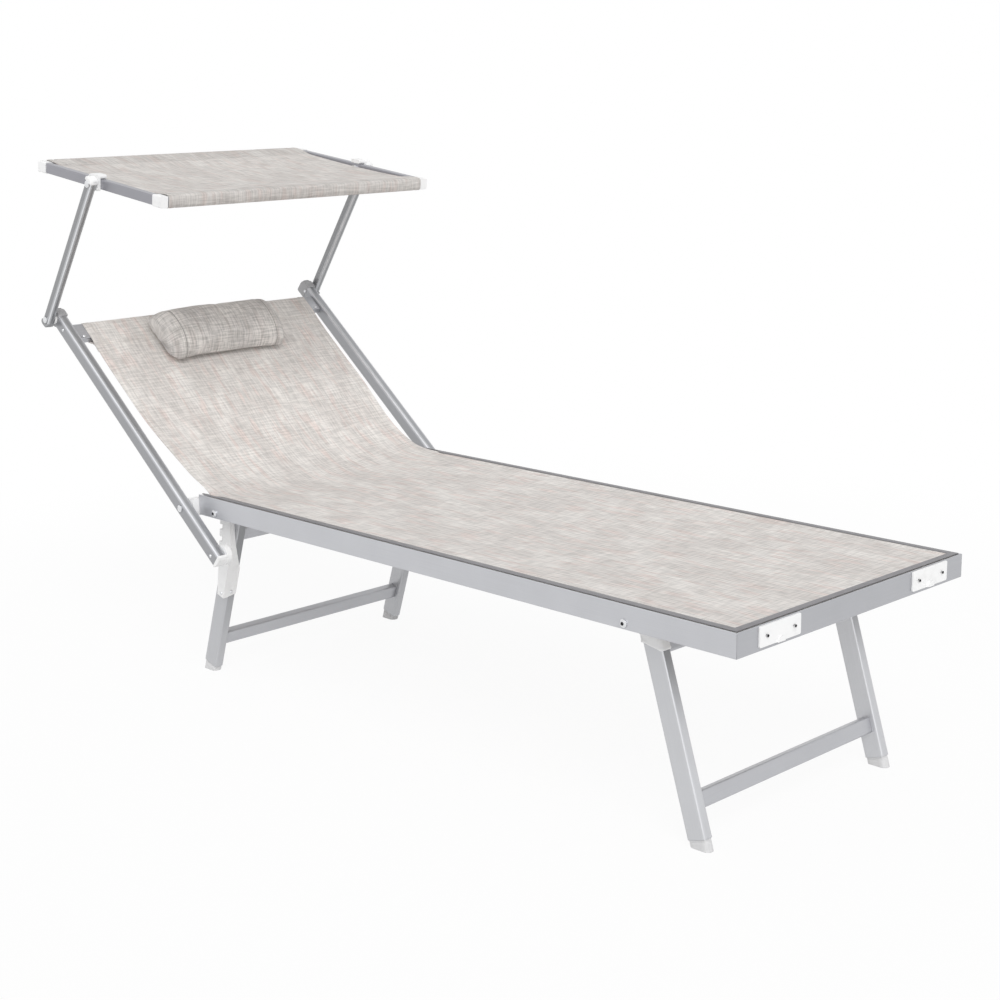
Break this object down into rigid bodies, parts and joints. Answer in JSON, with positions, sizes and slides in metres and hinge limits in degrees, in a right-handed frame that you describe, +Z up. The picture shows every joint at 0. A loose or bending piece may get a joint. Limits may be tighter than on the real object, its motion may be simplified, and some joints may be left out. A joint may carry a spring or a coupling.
{
  "type": "sun lounger with canopy",
  "caption": "Folding aluminium beach lounger with a mesh sling bed, adjustable backrest, head pillow, folding legs and a small tilting sun canopy on side arms.",
  "frame": {"origin": "bottom centre of the lounger's box, on the ground, with the backrest and canopy as in the picture", "axes": "+X towards the foot end, +Y to the left of a person lying on it, +Z up"},
  "size_m": [1.7768, 0.7216, 1.0158],
  "materials": {
    "aluminium": "satin anodised, drawn along the tubes",
    "nylon": "white moulded, matt",
    "steel": "plain fasteners",
    "sling": "coated mesh weave in pale grey and beige",
    "pillow": "woven melange in mid grey"
  },
  "bodies": {
    "seat_frame": {"foot_rail": "aluminium", "seat_rail_left": "aluminium", "seat_rail_right": "aluminium", "foot_plate_left": "nylon", "foot_plate_right": "nylon", "hinge_block_left": "nylon", "hinge_block_right": "nylon", "front_leg_bolt_left": "steel", "front_leg_bolt_right": "steel", "rear_leg_bolt_left": "steel", "rear_leg_bolt_right": "steel", "seat_sling": "sling"},
    "front_legs": {"front_leg_left": "aluminium", "front_leg_right": "aluminium", "front_leg_head_left": "nylon", "front_leg_head_right": "nylon", "front_foot_left": "nylon", "front_foot_right": "nylon", "front_upper_bar": "aluminium", "front_lower_bar": "aluminium"},
    "rear_legs": {"rear_leg_left": "aluminium", "rear_leg_right": "aluminium", "rear_leg_head_left": "nylon", "rear_leg_head_right": "nylon", "rear_foot_left": "nylon", "rear_foot_right": "nylon", "rack_left": "nylon", "rack_right": "nylon", "rear_upper_bar": "aluminium", "rear_lower_bar": "aluminium"},
    "backrest": {"top_cross_tube": "aluminium", "back_rail_left": "aluminium", "back_rail_right": "aluminium", "back_end_cap_left": "nylon", "back_end_cap_right": "nylon", "rail_top_plug_left": "nylon", "rail_top_plug_right": "nylon", "back_pivot_bolt_left": "steel", "back_pivot_bolt_right": "steel", "back_sling": "sling", "sling_bend": "sling", "pillow": "pillow"},
    "canopy_arms": {"canopy_arm_left": "aluminium", "canopy_arm_right": "aluminium", "arm_bolt_left": "steel", "arm_bolt_right": "steel"},
    "canopy": {"canopy_front_tube": "aluminium", "canopy_rear_tube": "aluminium", "canopy_front_corner_left": "nylon", "canopy_front_corner_right": "nylon", "canopy_rear_corner_left": "nylon", "canopy_rear_corner_right": "nylon", "canopy_side_tube_left": "aluminium", "canopy_side_tube_right": "aluminium", "canopy_clip_left": "nylon", "canopy_clip_right": "nylon", "canopy_bolt_left": "steel", "canopy_bolt_right": "steel", "canopy_cloth": "sling"}
  },
  "joints": [
    {"name": "front_leg_fold", "type": "hinge", "parent": "seat_frame", "child": "front_legs", "pos_m": [0.6651, 0, 0.355], "axis": [0, 1, 0], "range_deg": [0, 105]},
    {"name": "rear_leg_fold", "type": "hinge", "parent": "seat_frame", "child": "rear_legs", "pos_m": [-0.38889, 0, 0.355], "axis": [0, -1, 0], "range_deg": [0, 109]},
    {"name": "backrest_recline", "type": "hinge", "parent": "seat_frame", "child": "backrest", "pos_m": [-0.45189, 0, 0.361], "axis": [0, 1, 0], "range_deg": [-39, 25], "deforming": ["sling_bend"]},
    {"name": "canopy_arm_swing", "type": "hinge", "parent": "backrest", "child": "canopy_arms", "pos_m": [-0.86534, 0, 0.6958], "axis": [0, 1, 0], "range_deg": [-85, 40]},
    {"name": "canopy_tilt", "type": "hinge", "parent": "canopy_arms", "child": "canopy", "pos_m": [-0.67276, 0, 0.976], "axis": [0, 1, 0], "range_deg": [-40, 30]}
  ]
}
